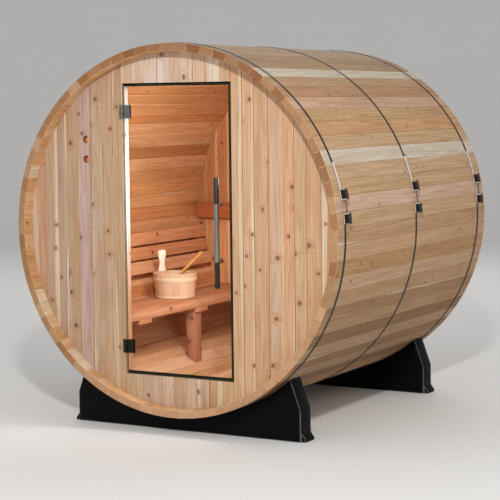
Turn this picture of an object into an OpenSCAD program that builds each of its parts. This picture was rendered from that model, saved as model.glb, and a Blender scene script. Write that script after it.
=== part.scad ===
/* [Barrel] */
// Outside diameter of the stave barrel
barrel_d = 1829; // [1790:1:2400]
// Length of the barrel over its stave ends
barrel_l = 1829; // [1500:1:3000]
// Thickness of the staves
stave_t = 38; // [30:1:50]
// Clear height under the lowest stave
ground_gap = 86; // [60:1:160]

/* [End walls] */
// Depth from a barrel end to the face of its end wall
wall_recess = 70; // [50:1:160]
// Thickness of the end wall boards
wall_t = 38; // [28:1:50]
// Height of the rail across the inside of the rear wall
rail_h = 88; // [60:1:140]
// Thickness of that rail
rail_t = 38; // [20:1:50]
// Height of the rail's middle above the barrel's axis
rail_z = -14; // [-60:1:120]

/* [Doorway] */
// Width of the doorway
door_w = 622; // [500:1:640]
// Height of the doorway
door_h = 1450; // [1150:1:1460]
// Width of the boards that frame the doorway inside
frame_w = 58; // [40:1:62]
// Thickness of those boards
frame_t = 20; // [15:1:35]
// Width of the black stops that the door closes on
stop_w = 15; // [12:1:30]
// Thickness of the stops
stop_t = 12; // [8:1:14]
// Thickness of the black seal on the hinge side
seal_t = 3; // [2:0.5:3]

/* [Glass door] */
// Thickness of the glass
glass_t = 8; // [6:1:10]
// Gap between the glass and the doorway's edges
door_gap = 8; // [8:1:12]
// Height of a hinge
hinge_h = 67; // [50:1:90]
// Distance from an end of the doorway to the middle of its hinge
hinge_inset = 140; // [60:1:220]
// Reach of a hinge leaf on the wall, from the pin
leaf_w = 18; // [16:1:40]
// Reach of a hinge clamp on the glass, from the pin
clamp_w = 42; // [35:1:70]
// Diameter of the hinge pin
pin_d = 6; // [5:0.5:7]
// Length of the door handle
handle_l = 535; // [300:1:700]
// Diameter of the handle's tube
handle_d = 25; // [18:1:32]
// Distance from the glass to the middle of the handle's tube
handle_reach = 35; // [30:1:66]
// Distance between the handle's two posts
handle_pitch = 276; // [150:1:300]
// Distance from the doorway's closing edge to the handle
handle_inset = 66; // [50:1:110]

/* [Cable holes] */
// Diameter of the two cable holes in the front wall
hole_d = 38; // [20:1:50]
// Distance of the holes to the left of the barrel's axis
hole_x = 531; // [420:1:560]
// Height of the lower hole above the barrel's axis
hole_z = 349; // [200:1:400]
// Distance between the holes
hole_pitch = 99; // [60:1:150]

/* [Hoops] */
// Width of a hoop band
band_w = 14; // [10:1:40]
// Thickness of a hoop band
band_t = 2; // [1:0.5:3]
// Distance from the front end to the middle of the front hoop
hoop_front_inset = 72; // [30:1:120]
// Distance from the rear end to the middle of the rear hoop
hoop_rear_inset = 108; // [30:1:120]
// Distance of the middle hoop in front of the barrel's middle
hoop_mid_shift = 28; // [-200:1:200]
// Height of the tensioners' middle above the barrel's axis
tension_z = 139; // [60:1:260]
// Distance between the two blocks of a tensioner, middle to middle
block_pitch = 110; // [90:1:160]
// Length of a tensioner block along its band
block_l = 50; // [30:1:56]
// Width of a tensioner block along the barrel
block_w = 24; // [20:1:40]
// Height of a tensioner block above its band
block_h = 30; // [26:1:36]
// Diameter of the tensioner's threaded rod
rod_d = 9; // [6:1:12]

/* [Cradles] */
// Width of a cradle over its ends
cradle_w = 1290; // [1100:1:1500]
// Thickness of a cradle along the barrel
cradle_t = 108; // [60:1:160]
// Width of a cradle's top, over the horns that hold the barrel
horn_w = 1180; // [900:1:1280]
// Height of a cradle's upright ends
cradle_end_h = 150; // [60:1:200]
// Distance from the front end to the middle of the front cradle
cradle_front_inset = 178; // [100:1:500]
// Distance from the rear end to the middle of the rear cradle
cradle_rear_inset = 178; // [100:1:500]
// Height of the lugs at a cradle's ends
lug_h = 44; // [20:1:60]
// Width by which a lug stands out from the cradle's end
lug_out = 24; // [10:1:40]

/* [Bench] */
// Height of the bench top below the barrel's axis
bench_drop = 450; // [380:1:520]
// Distance of the bench's front edge to the left of the axis
bench_front = 372; // [300:1:420]
// Number of slats in the bench
bench_slats_n = 4; // [2:1:4]
// Width of a bench slat
slat_w = 82; // [60:1:84]
// Thickness of a bench slat
slat_t = 38; // [20:1:45]
// Gap between bench slats
slat_gap = 8; // [4:1:12]
// Width of the cleats under the bench
cleat_w = 120; // [60:1:160]
// Thickness of the cleats
cleat_t = 24; // [18:1:40]
// Distance of the end cleats from the middle one
cleat_pitch = 565; // [300:1:600]
// Width of the bench leg across the barrel, at its top
leg_w = 60; // [40:1:90]
// Width of the bench leg along the barrel
leg_l = 70; // [40:1:110]
// Narrowing of the leg at its foot
leg_taper = 24; // [0:1:30]
// Clearance between the bench's ends and the end walls
bench_end_gap = 6; // [1:1:20]

/* [Backrest] */
// Number of slats in the backrest
back_slats_n = 3; // [2:1:4]
// Width of a backrest slat
back_slat_w = 70; // [60:1:100]
// Thickness of a backrest slat
back_slat_t = 18; // [12:1:25]
// Gap between backrest slats
back_gap = 10; // [6:1:20]
// Thickness of the supports that hold the slats off the staves
back_off = 38; // [20:1:60]
// Width of a support along the barrel
back_support_w = 45; // [30:1:80]
// Angle below the axis of the backrest's middle
back_angle = 15; // [10:1:18]
// Distance from the slats' ends to the end supports
back_support_inset = 40; // [10:1:200]

/* [Bucket and ladle] */
// Top diameter of the bucket
bucket_d = 248; // [180:1:280]
// Bottom diameter of the bucket
bucket_foot_d = 214; // [160:1:250]
// Height of the bucket's rim
bucket_h = 140; // [110:1:200]
// Thickness of the bucket's wall
bucket_t = 12; // [8:1:16]
// Height of the long grip stave above the rim
grip_h = 118; // [60:1:160]
// Width of the grip stave
grip_w = 50; // [36:1:60]
// Distance of the bucket to the left of the axis
bucket_x = 575; // [500:1:600]
// Diameter of the ladle's handle
ladle_d = 22; // [10:1:26]
// Length of the ladle
ladle_l = 352; // [320:1:450]
// Diameter of the ladle's cup
cup_d = 58; // [40:1:60]
// Height of the ladle's cup
cup_h = 46; // [30:1:50]

/* [Hidden] */
$fn = 96;
segment_n = 12;
segment_gap_a = 0.002;
cut = 1;
seat_gap = 0.3;
pin_gap = 0.3;
glass_inset = 2;
stop_gap = 6;
hinge_plate = 4;
clamp_plate = 4;
knuckle_d = 2 * pin_d;
knuckle_share = 0.3;
knuckle_gap = 0.5;
pin_edge = 4;
bolt_d = 8;
bolt_hole_d = 12;
post_d = 16;
cap_d = 24;
cap_t = 5;
lug_inset = 8;
lug_toe = 14;
block_plate = 4;
nut_d = 17;
nut_h = 8;
nut_seat = 1;
rod_past = 4;
rod_rise = 1;
leg_inset = 10;
leg_shift = 30;
slat_seat = 4;
support_end_a = 1;
grip_seat = 1;
bucket_y = 49;
bucket_base = 8;
grip_angle = 160;
ladle_turn = 74;
ladle_tilt = 33;
ladle_side = 27;
cup_along = 38;
cup_wall = 6;
grip_neck = 32;

outer_r = barrel_d / 2;
inner_r = outer_r - stave_t;
axis_z = ground_gap + outer_r;
front_y = -barrel_l / 2;
rear_y = barrel_l / 2;
front_face = front_y + wall_recess;
front_back = front_face + wall_t;
rear_face = rear_y - wall_recess;
rear_front = rear_face - wall_t;
wall_r = inner_r - seat_gap;
segment_a = 360 / segment_n;

glass_w = door_w - 2 * door_gap;
glass_h = door_h - 2 * door_gap;
glass_y = front_face + glass_inset;
glass_back = glass_y + glass_t;
stop_y = glass_back + stop_gap;
pin_x = -door_w / 2 + pin_edge;
pin_y = front_face - knuckle_d / 2;
clamp_x = pin_x + knuckle_d / 2;
knuckle_h = hinge_h * knuckle_share;
hinge_z = door_h / 2 - hinge_inset;
handle_x = door_w / 2 - handle_inset;
handle_y = glass_y - handle_reach;

hoop_r = outer_r + seat_gap;
band_r = hoop_r + band_t;
hoop_front_y = front_y + hoop_front_inset;
hoop_mid_y = -hoop_mid_shift;
hoop_rear_y = rear_y - hoop_rear_inset;
cradle_clear = (band_w + cradle_t) / 2 + seat_gap;
cradle_front_y = front_y + max(cradle_front_inset, hoop_front_inset + cradle_clear);
cradle_rear_y = rear_y - max(cradle_rear_inset, hoop_rear_inset + cradle_clear);
block_up_a = asin((tension_z + block_pitch / 2) / band_r);
block_low_a = asin((tension_z - block_pitch / 2) / band_r);

bench_z = axis_z - bench_drop;
bench_edge = max(bench_front, door_w / 2 + frame_w + seat_gap);
bench_len = rear_front - front_back - 2 * bench_end_gap;
bench_mid = (rear_front + front_back) / 2;
cleat_z = bench_z - slat_t - cleat_t;
leg_x = -bench_edge - leg_inset;
leg_mid = bench_mid - leg_shift;

slat_back_r = inner_r - back_off;
slat_face_r = slat_back_r - back_slat_t;
back_step = 2 * atan((back_slat_w + back_gap) / 2 / slat_face_r);
back_first = back_angle - back_step * (back_slats_n - 1) / 2;
back_front_y = front_back + bench_end_gap;
back_rear_y = rear_front - rail_t - bench_end_gap;

// A plate in the plane of the end walls, between two distances along the barrel
module upright(y0, y1) {
    translate([0, y1, axis_z]) rotate([90, 0, 0]) linear_extrude(y1 - y0) children();
}

// A box given by its lowest corner and its highest corner
module block(low, high) {
    translate(low) cube(high - low);
}

// A curved strip of the barrel's circle, between two angles above the right-hand side
module arc_band(r0, r1, y0, y1, a0, a1) {
    translate([0, y0, axis_z]) rotate([-90, 0, 0]) rotate([0, 0, -a1])
        rotate_extrude(angle = a1 - a0, $fn = 180) translate([r0, 0]) square([r1 - r0, y1 - y0]);
}

module barrel_segment(i) {
    start = -90 - segment_a / 2 + i * segment_a;
    color(i % 2 == 0 ? "#c9995e" : "#d2a46b")
        arc_band(inner_r, outer_r, front_y, rear_y, start, start + segment_a - segment_gap_a);
}

// The part of an end wall's disc that lies in one rectangle
module wall_patch(x0, x1, z0, z1) {
    intersection() {
        circle(r = wall_r, $fn = 180);
        translate([x0, z0]) square([x1 - x0, z1 - z0]);
    }
}

module front_wall_left() {
    color("#c8a078") difference() {
        upright(front_face, front_back) wall_patch(-outer_r, -door_w / 2, -outer_r, outer_r);
        for (k = [0, 1])
            translate([-hole_x, front_face - cut, axis_z + hole_z + k * hole_pitch])
                rotate([-90, 0, 0]) cylinder(d = hole_d, h = wall_t + 2 * cut);
    }
}

module front_wall_right() {
    color("#cfa67c")
        upright(front_face, front_back) wall_patch(door_w / 2, outer_r, -outer_r, outer_r);
}

module front_wall_top() {
    color("#d3a985")
        upright(front_face, front_back) wall_patch(-door_w / 2, door_w / 2, door_h / 2, outer_r);
}

module front_wall_bottom() {
    color("#d0a680")
        upright(front_face, front_back) wall_patch(-door_w / 2, door_w / 2, -outer_r, -door_h / 2);
}

module rear_wall() {
    color("#c99d70") upright(rear_front, rear_face) circle(r = wall_r, $fn = 180);
}

module rear_wall_rail() {
    color("#b5683a") upright(rear_front - rail_t, rear_front)
        wall_patch(-outer_r, outer_r, rail_z - rail_h / 2, rail_z + rail_h / 2);
}

// The four boards lie flat on the inside of the front wall, flush with the doorway
module door_frame_side(side) {
    color("#d9b79a") upright(front_back, front_back + frame_t)
        translate([side > 0 ? door_w / 2 : -door_w / 2 - frame_w, -door_h / 2])
            square([frame_w, door_h]);
}

module door_frame_end(side) {
    color("#d4ad8a") upright(front_back, front_back + frame_t)
        wall_patch(-door_w / 2 - frame_w, door_w / 2 + frame_w,
            side > 0 ? door_h / 2 : -door_h / 2 - frame_w, side > 0 ? door_h / 2 + frame_w : -door_h / 2);
}

// Stops at the top, bottom and closing side, and the thin seal on the hinge side
module door_stops() {
    w = door_w / 2;
    h = door_h / 2;
    color("#15140f") {
        upright(stop_y, stop_y + stop_t) {
            translate([w - stop_w, -h + stop_w + seat_gap])
                square([stop_w, 2 * (h - stop_w - seat_gap)]);
            for (side = [-1, 1])
                translate([-w, side > 0 ? h - stop_w : -h]) square([door_w, stop_w]);
        }
        upright(glass_y, stop_y - seat_gap)
            translate([-w, -h]) square([seal_t, door_h]);
    }
}

module knuckle(z0, z1) {
    translate([pin_x, pin_y, z0]) cylinder(d = knuckle_d, h = z1 - z0);
}

// The leaf carries the outer two knuckles, and is screwed to the wall
module hinge_leaf(z) {
    low = z - hinge_h / 2;
    color("#55554f") difference() {
        union() {
            block([pin_x - leaf_w, front_face - hinge_plate, low],
                [pin_x - knuckle_d, front_face, low + hinge_h]);
            for (z0 = [low, low + hinge_h - knuckle_h]) {
                block([pin_x - knuckle_d, front_face - hinge_plate, z0],
                    [pin_x, front_face, z0 + knuckle_h]);
                knuckle(z0, z0 + knuckle_h);
            }
        }
        translate([pin_x, pin_y, low - cut]) cylinder(d = pin_d + 2 * pin_gap, h = hinge_h + 2 * cut);
    }
}

// The clamp grips both faces of the glass, and turns on the pin with the door
module hinge_clamp(z) {
    low = z - hinge_h / 2;
    right = pin_x + clamp_w;
    color("#6d6e68") {
        block([clamp_x, front_face - hinge_plate, low], [right, glass_y, low + hinge_h]);
        block([pin_x, front_face - hinge_plate, low + knuckle_h + knuckle_gap],
            [clamp_x + cut, front_face, low + hinge_h - knuckle_h - knuckle_gap]);
        knuckle(low + knuckle_h + knuckle_gap, low + hinge_h - knuckle_h - knuckle_gap);
        translate([pin_x, pin_y, low]) cylinder(d = pin_d, h = hinge_h);
    }
    color("#6d6e68")
        block([clamp_x + pin_edge, glass_back, low], [right, glass_back + clamp_plate, low + hinge_h]);
}

module at_handle_posts() {
    for (side = [-1, 1])
        translate([handle_x, 0, axis_z + side * handle_pitch / 2]) rotate([-90, 0, 0]) children();
}

module door_glass() {
    color("#cfe0da", 0.4) difference() {
        upright(glass_y, glass_back) square([glass_w, glass_h], center = true);
        at_handle_posts() translate([0, 0, glass_y - cut]) cylinder(d = bolt_hole_d, h = glass_t + 2 * cut);
    }
}

module door_handle() {
    color("#8f9695") {
        translate([handle_x, handle_y, axis_z - handle_l / 2]) cylinder(d = handle_d, h = handle_l);
        at_handle_posts() {
            translate([0, 0, handle_y]) cylinder(d = post_d, h = glass_y - handle_y);
            translate([0, 0, handle_y]) cylinder(d = bolt_d, h = glass_back - handle_y);
        }
    }
}

module handle_caps() {
    color("#8f9695") at_handle_posts() translate([0, 0, glass_back]) cylinder(d = cap_d, h = cap_t);
}

// Each hoop is two bands that end under the blocks of its tensioners
module hoop(y) {
    color("#7c8084") {
        arc_band(hoop_r, band_r, y - band_w / 2, y + band_w / 2, block_up_a, 180 - block_up_a);
        arc_band(hoop_r, band_r, y - band_w / 2, y + band_w / 2, 180 - block_low_a, 360 + block_low_a);
    }
}

// A strap folded into a bracket, open at its sides and at the end away from the other one
module tension_block(a, end_side) {
    translate([0, 0, axis_z]) rotate([0, -a, 0]) translate([band_r, 0, 0])
        mirror([0, 0, end_side > 0 ? 1 : 0]) difference() {
            block([0, -block_w / 2, -block_l / 2], [block_h, block_w / 2, block_l / 2]);
            block([block_plate, -block_w / 2 - cut, -block_l / 2 + block_plate],
                [block_h - block_plate, block_w / 2 + cut, block_l / 2 + cut]);
        }
}

// Two brackets pulled together by a threaded rod with a nut at each end
module tensioner(y) {
    mid_a = (block_up_a + block_low_a) / 2;
    rod_r = band_r * cos((block_up_a - block_low_a) / 2) + block_h / 2 + rod_rise;
    nut_z = (block_pitch - block_l) / 2 + block_plate;
    rod_half = nut_z + nut_h + rod_past;
    translate([0, y, 0]) {
        tension_block(block_up_a, -1);
        tension_block(block_low_a, 1);
        translate([0, 0, axis_z]) rotate([0, -mid_a, 0]) translate([rod_r, 0, 0]) {
            translate([0, 0, -rod_half]) cylinder(d = rod_d, h = 2 * rod_half);
            for (side = [0, 1]) mirror([0, 0, side]) translate([0, 0, nut_z - nut_seat])
                cylinder(d = nut_d, h = nut_h + nut_seat, $fn = 6);
        }
    }
}

module tensioners(y) {
    color("#2f3336") {
        tensioner(y);
        mirror([1, 0, 0]) tensioner(y);
    }
}

// A saddle with a lug at each end, whose horns end against the barrel's side
module cradle(y) {
    horn_z = outer_r - sqrt(pow(outer_r, 2) - pow(horn_w / 2, 2)) + ground_gap;
    end_x = cradle_w / 2;
    color("#1b1b1c") difference() {
        union() {
            translate([0, y + cradle_t / 2, 0]) rotate([90, 0, 0]) linear_extrude(cradle_t)
                polygon([[-end_x, 0], [end_x, 0], [end_x, cradle_end_h], [horn_w / 2, horn_z],
                    [-horn_w / 2, horn_z], [-end_x, cradle_end_h]]);
            translate([0, y + cradle_t / 2 - lug_inset, 0]) rotate([90, 0, 0])
                linear_extrude(cradle_t - 2 * lug_inset)
                    polygon([[-end_x - lug_out, 0], [end_x + lug_out, 0], [end_x + lug_out, lug_toe],
                        [end_x, lug_h], [-end_x, lug_h], [-end_x - lug_out, lug_toe]]);
        }
        translate([0, y, axis_z]) rotate([90, 0, 0])
            cylinder(r = outer_r + seat_gap, h = cradle_t + 2 * cut, center = true, $fn = 180);
    }
}

// The space inside the staves, between the end walls
module room() {
    upright(front_back, rear_front) circle(r = wall_r, $fn = 180);
}

module bench_slats() {
    color("#c07d52") intersection() {
        for (i = [0 : bench_slats_n - 1]) {
            right = -bench_edge - i * (slat_w + slat_gap);
            block([right - slat_w, bench_mid - bench_len / 2, bench_z - slat_t],
                [right, bench_mid + bench_len / 2, bench_z]);
        }
        room();
    }
}

// Cleats run back from the bench's front edge to the staves, and carry the slats
module bench_cleats() {
    color("#b5703f") intersection() {
        for (k = [-1 : 1])
            block([-outer_r, bench_mid + k * cleat_pitch - cleat_w / 2, cleat_z],
                [-bench_edge, bench_mid + k * cleat_pitch + cleat_w / 2, cleat_z + cleat_t]);
        room();
    }
}

module bench_leg() {
    drop = axis_z - cleat_z;
    color("#c28157") intersection() {
        upright(leg_mid - leg_l / 2, leg_mid + leg_l / 2)
            polygon([[leg_x - leg_w, -drop], [leg_x, -drop], [leg_x, -outer_r],
                [leg_x - leg_w + leg_taper, -outer_r]]);
        room();
    }
}

// Flat boards that follow the barrel's left side
module backrest_slats(grow = 0) {
    color("#bd7346") for (i = [0 : back_slats_n - 1])
        translate([0, back_front_y, axis_z]) rotate([0, -(180 + back_first + i * back_step), 0])
            translate([slat_face_r, -grow, -back_slat_w / 2])
                cube([back_slat_t, back_rear_y - back_front_y + 2 * grow, back_slat_w]);
}

module backrest_supports() {
    half = back_step * (back_slats_n - 1) / 2 + asin(back_slat_w / 2 / slat_back_r) - support_end_a;
    first = back_front_y + back_support_inset;
    last = back_rear_y - back_support_inset - back_support_w;
    color("#a9602f") difference() {
        for (y = [first, (first + last) / 2, last])
            arc_band(slat_back_r - slat_seat, wall_r, y, y + back_support_w,
                180 + back_angle - half, 180 + back_angle + half);
        backrest_slats(cut);
    }
}

module at_bucket() {
    translate([-bucket_x, bench_mid + bucket_y, bench_z]) children();
}

// A coopered bucket with one long stave for a grip
module bucket() {
    r0 = bucket_foot_d / 2;
    r1 = bucket_d / 2;
    slope = (r1 - r0) / bucket_h;
    color("#e3b98a") at_bucket() difference() {
        union() {
            cylinder(r1 = r0, r2 = r1, h = bucket_h);
            rotate([0, 0, grip_angle]) translate([r1 - bucket_t - grip_seat, 0, 0]) {
                block([0, -grip_w / 2, bucket_h - bucket_t], [bucket_t, grip_w / 2, bucket_h + grip_w / 2]);
                block([0, -grip_neck / 2, bucket_h],
                    [bucket_t, grip_neck / 2, bucket_h + grip_h - grip_w / 2]);
                translate([0, 0, bucket_h + grip_h - grip_w / 2]) rotate([0, 90, 0])
                    cylinder(d = grip_w, h = bucket_t);
            }
        }
        translate([0, 0, bucket_base])
            cylinder(r1 = r0 - bucket_t + slope * bucket_base,
                r2 = r1 - bucket_t + slope * (bucket_base + cut), h = bucket_h + cut);
    }
}

// The ladle stands in the bucket and leans on its rim
module ladle() {
    rim = sqrt(pow(bucket_d / 2 - bucket_t, 2) - pow(ladle_side, 2));
    lift = ladle_d / 2 / cos(ladle_tilt) + 2 * seat_gap;
    low = cup_along + cup_d / 2 - cup_wall;
    color("#c98a3f") at_bucket() rotate([0, 0, ladle_turn]) translate([0, ladle_side, 0]) {
        translate([-cup_along, 0, bucket_base + seat_gap]) difference() {
            cylinder(d = cup_d, h = cup_h);
            translate([0, 0, cup_wall]) cylinder(d = cup_d - 2 * cup_wall, h = cup_h);
        }
        translate([rim, 0, bucket_h + lift]) rotate([0, 90 - ladle_tilt, 0])
            translate([0, 0, -(rim + low) / cos(ladle_tilt)]) cylinder(d = ladle_d, h = ladle_l);
    }
}

barrel_segment(0);  // barrel_segment_01
barrel_segment(1);  // barrel_segment_02
barrel_segment(2);  // barrel_segment_03
barrel_segment(3);  // barrel_segment_04
barrel_segment(4);  // barrel_segment_05
barrel_segment(5);  // barrel_segment_06
barrel_segment(6);  // barrel_segment_07
barrel_segment(7);  // barrel_segment_08
barrel_segment(8);  // barrel_segment_09
barrel_segment(9);  // barrel_segment_10
barrel_segment(10);  // barrel_segment_11
barrel_segment(11);  // barrel_segment_12
front_wall_left();
front_wall_right();
front_wall_top();
front_wall_bottom();
rear_wall();
rear_wall_rail();
door_frame_side(-1);  // door_frame_left
door_frame_side(1);  // door_frame_right
door_frame_end(1);  // door_frame_top
door_frame_end(-1);  // door_frame_bottom
door_stops();
hinge_leaf(axis_z + hinge_z);  // hinge_leaf_upper
hinge_leaf(axis_z - hinge_z);  // hinge_leaf_lower
door_glass();
hinge_clamp(axis_z + hinge_z);  // hinge_clamp_upper
hinge_clamp(axis_z - hinge_z);  // hinge_clamp_lower
door_handle();
handle_caps();
hoop(hoop_front_y);  // hoop_front
hoop(hoop_mid_y);  // hoop_middle
hoop(hoop_rear_y);  // hoop_rear
tensioners(hoop_front_y);  // tensioners_front
tensioners(hoop_mid_y);  // tensioners_middle
tensioners(hoop_rear_y);  // tensioners_rear
cradle(cradle_front_y);  // cradle_front
cradle(cradle_rear_y);  // cradle_rear
bench_slats();
bench_cleats();
bench_leg();
backrest_slats();
backrest_supports();
bucket();
ladle();
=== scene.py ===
import itertools
import math
import random
import bmesh
import bpy
from mathutils import Matrix, Vector


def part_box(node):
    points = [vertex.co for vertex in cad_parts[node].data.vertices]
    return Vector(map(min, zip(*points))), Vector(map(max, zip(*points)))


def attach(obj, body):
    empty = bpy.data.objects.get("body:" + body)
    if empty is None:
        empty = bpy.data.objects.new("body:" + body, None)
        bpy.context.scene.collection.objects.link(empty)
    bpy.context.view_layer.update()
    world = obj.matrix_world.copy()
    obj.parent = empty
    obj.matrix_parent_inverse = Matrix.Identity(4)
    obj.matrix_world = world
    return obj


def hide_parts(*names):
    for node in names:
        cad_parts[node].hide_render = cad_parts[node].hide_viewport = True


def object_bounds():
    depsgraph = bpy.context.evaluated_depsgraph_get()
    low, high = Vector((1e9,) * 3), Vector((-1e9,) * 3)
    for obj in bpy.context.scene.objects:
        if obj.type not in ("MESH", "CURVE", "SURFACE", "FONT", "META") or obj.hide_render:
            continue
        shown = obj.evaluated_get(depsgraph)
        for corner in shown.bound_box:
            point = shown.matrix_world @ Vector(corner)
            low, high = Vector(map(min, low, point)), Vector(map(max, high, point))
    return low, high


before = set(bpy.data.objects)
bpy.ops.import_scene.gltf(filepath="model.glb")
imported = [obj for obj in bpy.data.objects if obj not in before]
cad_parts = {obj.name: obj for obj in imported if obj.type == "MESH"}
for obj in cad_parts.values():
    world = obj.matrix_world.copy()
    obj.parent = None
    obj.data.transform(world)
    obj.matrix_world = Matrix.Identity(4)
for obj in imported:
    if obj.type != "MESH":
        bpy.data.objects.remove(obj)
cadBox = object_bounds()
print("frame loaded")

cabin, door = "cabin", "door"
upAxis, longAxis, crossAxis = Vector((0, 0, 1)), Vector((0, 1, 0)), Vector((1, 0, 0))


def tone(text):
    # a display colour such as "c79b66" as linear light
    parts = [int(text[i:i + 2], 16) / 255 for i in (0, 2, 4)]
    return (*[c / 12.92 if c < 0.04 else ((c + 0.055) / 1.055) ** 2.4 for c in parts], 1)


def blendTone(a, b, share):
    return (*[p + (q - p) * share for p, q in zip(a[:3], b[:3])], 0)


move = Matrix.Translation


def turn(angle, axis):
    return Matrix.Rotation(angle, 4, axis)


def scaled(colour, by):
    return (*[c * k for c, k in zip(colour, by)], 1)


def withSap(colour, sap=0):
    # a timber tint's fourth number says how much sapwood shows
    return (*colour[:3], sap)


def clamp(value):
    return min(max(value, 0), 1)


def varied(colour, draw, light=0.07, warm=0.04):
    # the same timber, a little lighter or darker and a little redder or yellower
    lift = 1 + draw.uniform(-light, light)
    shift = draw.uniform(-warm, warm)
    return (colour[0] * lift * (1 + shift), colour[1] * lift, colour[2] * lift * (1 - shift), 1)


def pickTone(colours, draw, light=0.07, warm=0.04):
    return varied(tone(draw.choice(colours)), draw, light, warm)


def spanOf(*nodes):
    boxes = [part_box(node) for node in nodes]
    low = Vector([min(box[0][k] for box in boxes) for k in range(3)])
    high = Vector([max(box[1][k] for box in boxes) for k in range(3)])
    return low, high


# the barrel's own measures, from the frame
segmentNodes = sorted(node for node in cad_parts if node.startswith("barrel_segment"))
shellLow, shellHigh = spanOf(*segmentNodes)
shellRadius = (shellHigh.x - shellLow.x) / 2
axisZ = (shellHigh.z + shellLow.z) / 2
rearLow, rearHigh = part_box("rear_wall")
wallRadius = (rearHigh.x - rearLow.x) / 2
fitGap = 0.0003
roomRadius = wallRadius + fitGap
frontLow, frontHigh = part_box("front_wall_left")
doorLeft, doorRight = frontHigh.x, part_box("front_wall_right")[0].x
doorTop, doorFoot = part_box("front_wall_top")[0].z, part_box("front_wall_bottom")[1].z


class Wire:
    # one output of a node, so that shader sums read as plain Python
    def __init__(self, finish, socket):
        self.finish = finish
        self.socket = socket

    def calc(self, operation, *values):
        return self.finish.node("Math", {"operation": operation}, dict(enumerate(values)))

    def out(self, which):
        return Wire(self.finish, self.socket.node.outputs[which])

    def __pow__(self, other):
        return self.calc("POWER", self, other)

    def __lt__(self, other):
        return self.calc("LESS_THAN", self, other)

    def __abs__(self):
        return self.calc("ABSOLUTE", self)


# each sum works with the wire on either side, so that 1 - mask is a node too
for sign, kind in (("add", "ADD"), ("sub", "SUBTRACT"), ("mul", "MULTIPLY"), ("truediv", "DIVIDE")):
    setattr(Wire, f"__{sign}__", lambda wire, other, kind=kind: wire.calc(kind, wire, other))
    setattr(Wire, f"__r{sign}__", lambda wire, other, kind=kind: wire.calc(kind, other, wire))


class Finish:
    # one material; plain values go straight on the shader's own sockets
    def __init__(self, name, **sockets):
        self.made = bpy.data.materials.new(name)
        self.made.use_nodes = True
        self.tree = self.made.node_tree
        self.shader = self.tree.nodes["Principled BSDF"]
        for key, value in sockets.items():
            self.shader.inputs[socketNames[key]].default_value = value

    def node(self, kind, settings=None, sockets=None, out=0):
        made = self.tree.nodes.new("ShaderNode" + kind)
        for key, value in (settings or {}).items():
            if key == "stops":
                ramp = made.color_ramp.elements
                for spot, colour in value[2:]:
                    ramp.new(spot)
                for element, (spot, colour) in zip(ramp, value):
                    element.position, element.color = spot, colour
            else:
                setattr(made, key, value)
        for key, value in (sockets or {}).items():
            if isinstance(value, Wire):
                self.tree.links.new(value.socket, made.inputs[key])
            else:
                made.inputs[key].default_value = value
        return Wire(self, made.outputs[out])

    def feed(self, **wires):
        for key, wire in wires.items():
            self.tree.links.new(wire.socket, self.shader.inputs[socketNames[key]])
        return self.made

    def mix(self, factor, a, b):
        return self.node("Mix", {"data_type": "RGBA"}, {0: factor, 6: a, 7: b}, 2)

    def spot(self):
        return self.node("TexCoord", None, None, "Object")

    def stretch(self, spot, by):
        return self.node("VectorMath", {"operation": "MULTIPLY"}, {0: spot, 1: by})

    def shade(self, colour, by):
        # the colour multiplied by three numbers
        return self.stretch(colour, by) if isinstance(colour, Wire) else scaled(colour, by)

    def noise(self, spot, detail=2.0, roughness=0.5):
        return self.node("TexNoise", {"noise_dimensions": "3D"},
                         {"Vector": spot, "Scale": 1.0, "Detail": detail, "Roughness": roughness})

    def ease(self, value, start, end):
        return self.node("MapRange", {"interpolation_type": "SMOOTHSTEP"},
                         {"Value": value, "From Min": start, "From Max": end})

    def bump(self, height, strength, depth):
        return self.node("Bump", None, {"Strength": strength, "Distance": depth, "Height": height})


socketNames = {
    "colour": "Base Color", "rough": "Roughness", "metal": "Metallic", "alpha": "Alpha",
    "normal": "Normal", "gloss": "Specular IOR Level", "bend": "IOR",
}


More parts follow.
